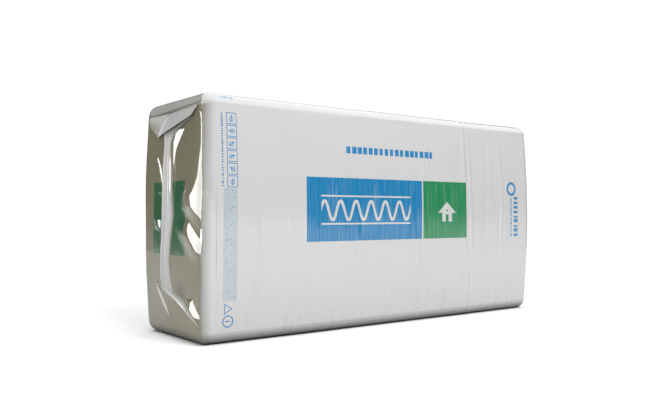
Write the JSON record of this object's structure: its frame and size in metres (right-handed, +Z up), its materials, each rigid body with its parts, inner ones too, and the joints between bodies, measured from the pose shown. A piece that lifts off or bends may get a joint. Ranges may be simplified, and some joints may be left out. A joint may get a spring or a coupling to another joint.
{
  "type": "pack of glass wool insulation batts",
  "caption": "Film-wrapped pack of compressed glass mineral wool insulation batts, standing on its long edge with its folded ends closed.",
  "frame": {"origin": "centre of the underside, on the floor that the pack stands on", "axes": "+X along the pack's length, +Y through its depth from the printed face to the back, +Z up"},
  "size_m": [1.2298, 0.347, 0.6016],
  "materials": {
    "film": "glossy white polythene film with a blue and green print, clear over the wool at the ends",
    "wool": "matt brown glass wool"
  },
  "bodies": {
    "root": {"film_wrap": "film", "batt_1": "wool", "batt_2": "wool", "batt_3": "wool", "batt_4": "wool", "batt_5": "wool", "batt_6": "wool"}
  },
  "joints": []
}
